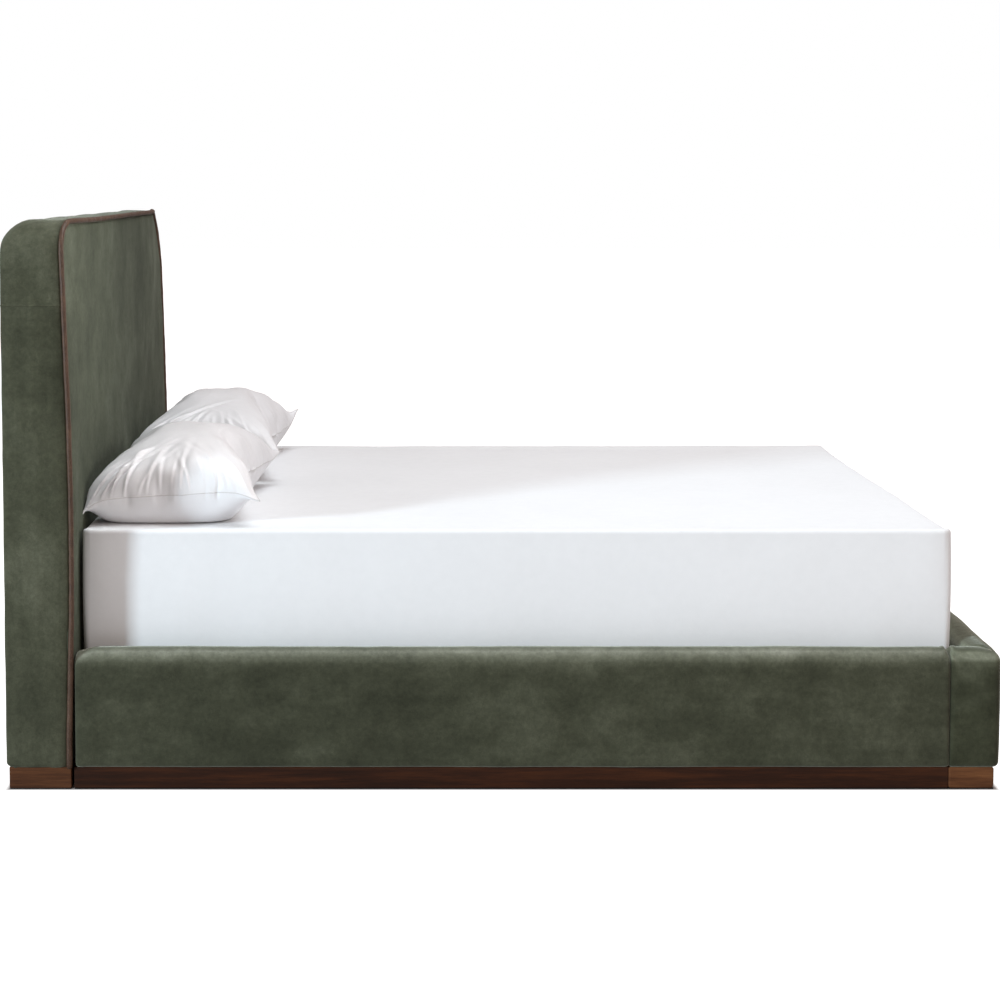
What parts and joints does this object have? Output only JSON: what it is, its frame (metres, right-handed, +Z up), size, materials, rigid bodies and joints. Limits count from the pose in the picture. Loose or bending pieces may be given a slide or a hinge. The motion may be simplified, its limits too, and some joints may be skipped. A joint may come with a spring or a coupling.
{
  "type": "platform bed",
  "caption": "Upholstered platform bed: tall headboard with contrast piping, padded rails on a wood plinth, slatted base, sheeted mattress, pillows and levelling feet.",
  "frame": {"origin": "on the floor, at the centre of the bed's footprint", "axes": "+X from the headboard towards the foot, +Y across the bed to a lying person's left, +Z up"},
  "size_m": [2.296, 1.707, 1.3135],
  "materials": {
    "velvet": "matte",
    "piping_leather": "satin",
    "walnut": "satin",
    "pine": "matte",
    "plywood": "matte",
    "foam": "matte",
    "black_steel": "satin",
    "zinc_steel": "satin",
    "foot_plastic": "matte",
    "webbing": "matte",
    "felt": "matte",
    "fitted_sheet": "matte",
    "pillow_cotton": "satin"
  },
  "bodies": {
    "bed": {"headboard_stiles": "pine", "headboard_top_rail": "pine", "headboard_bottom_rail": "pine", "headboard_studs": "pine", "headboard_corner_blocks": "pine", "headboard_front_board": "plywood", "headboard_back_board": "plywood", "headboard_side_foam": "foam", "headboard_top_foam": "foam", "headboard_front_foam": "foam", "headboard_band_cover": "velvet", "headboard_front_cover": "velvet", "headboard_back_cover": "velvet", "headboard_piping": "piping_leather", "headboard_plinth_ends": "walnut", "headboard_plinth_boards": "walnut", "left_rail_board": "pine", "left_rail_foam": "foam", "left_rail_cover": "velvet", "left_rail_plinth": "walnut", "left_slat_ledger": "pine", "right_rail_board": "pine", "right_rail_foam": "foam", "right_rail_cover": "velvet", "right_rail_plinth": "walnut", "right_slat_ledger": "pine", "footboard_board": "pine", "footboard_return_boards": "pine", "footboard_foam": "foam", "footboard_return_foam": "foam", "footboard_cover": "velvet", "footboard_plinth_board": "walnut", "footboard_plinth_ends": "walnut", "ledger_screws": "zinc_steel", "head_brackets": "black_steel", "head_bolts": "zinc_steel", "head_nuts": "zinc_steel", "foot_splice_plates": "black_steel", "bracket_screws": "zinc_steel", "centre_beam": "pine", "beam_hangers": "black_steel", "centre_leg_1": "pine", "centre_leg_2": "pine", "centre_leg_3": "pine", "leg_top_plates": "black_steel", "leg_inserts": "zinc_steel", "slats": "pine", "slat_straps": "webbing", "slat_screws": "zinc_steel", "felt_glides": "felt"},
    "mattress": {"mattress": "fitted_sheet"},
    "near_pillow": {"near_pillow": "pillow_cotton"},
    "far_pillow": {"far_pillow": "pillow_cotton"},
    "foot_pad_1": {"level_pad_1": "foot_plastic"},
    "foot_stud_1": {"level_stud_1": "zinc_steel"},
    "foot_pad_2": {"level_pad_2": "foot_plastic"},
    "foot_stud_2": {"level_stud_2": "zinc_steel"},
    "foot_pad_3": {"level_pad_3": "foot_plastic"},
    "foot_stud_3": {"level_stud_3": "zinc_steel"}
  },
  "joints": [
    {"name": "mattress_lift", "type": "slide", "parent": "bed", "child": "mattress", "axis": [0, 0, 1], "range_m": [0, 0.35]},
    {"name": "near_pillow_lift", "type": "slide", "parent": "mattress", "child": "near_pillow", "axis": [0, 0, 1], "range_m": [0, 0.3]},
    {"name": "far_pillow_lift", "type": "slide", "parent": "mattress", "child": "far_pillow", "axis": [0, 0, 1], "range_m": [0, 0.3]},
    {"name": "foot_extend_1", "type": "slide", "parent": "bed", "child": "foot_pad_1", "axis": [0, 0, -1], "range_m": [0, 0.00602]},
    {"name": "stud_turn_1", "type": "hinge", "parent": "foot_pad_1", "child": "foot_stud_1", "pos_m": [-0.62, 0, 0.02], "axis": [0, 0, -1], "range_deg": [0, 1440]},
    {"name": "foot_extend_2", "type": "slide", "parent": "bed", "child": "foot_pad_2", "axis": [0, 0, -1], "range_m": [0, 0.00602]},
    {"name": "stud_turn_2", "type": "hinge", "parent": "foot_pad_2", "child": "foot_stud_2", "pos_m": [0, 0, 0.02], "axis": [0, 0, -1], "range_deg": [0, 1440]},
    {"name": "foot_extend_3", "type": "slide", "parent": "bed", "child": "foot_pad_3", "axis": [0, 0, -1], "range_m": [0, 0.00602]},
    {"name": "stud_turn_3", "type": "hinge", "parent": "foot_pad_3", "child": "foot_stud_3", "pos_m": [0.62, 0, 0.02], "axis": [0, 0, -1], "range_deg": [0, 1440]}
  ],
  "couplings": [
    {"joint": "foot_extend_1", "follows": "stud_turn_1", "m_per_rad": 0.00023873},
    {"joint": "foot_extend_2", "follows": "stud_turn_2", "m_per_rad": 0.00023873},
    {"joint": "foot_extend_3", "follows": "stud_turn_3", "m_per_rad": 0.00023873}
  ]
}
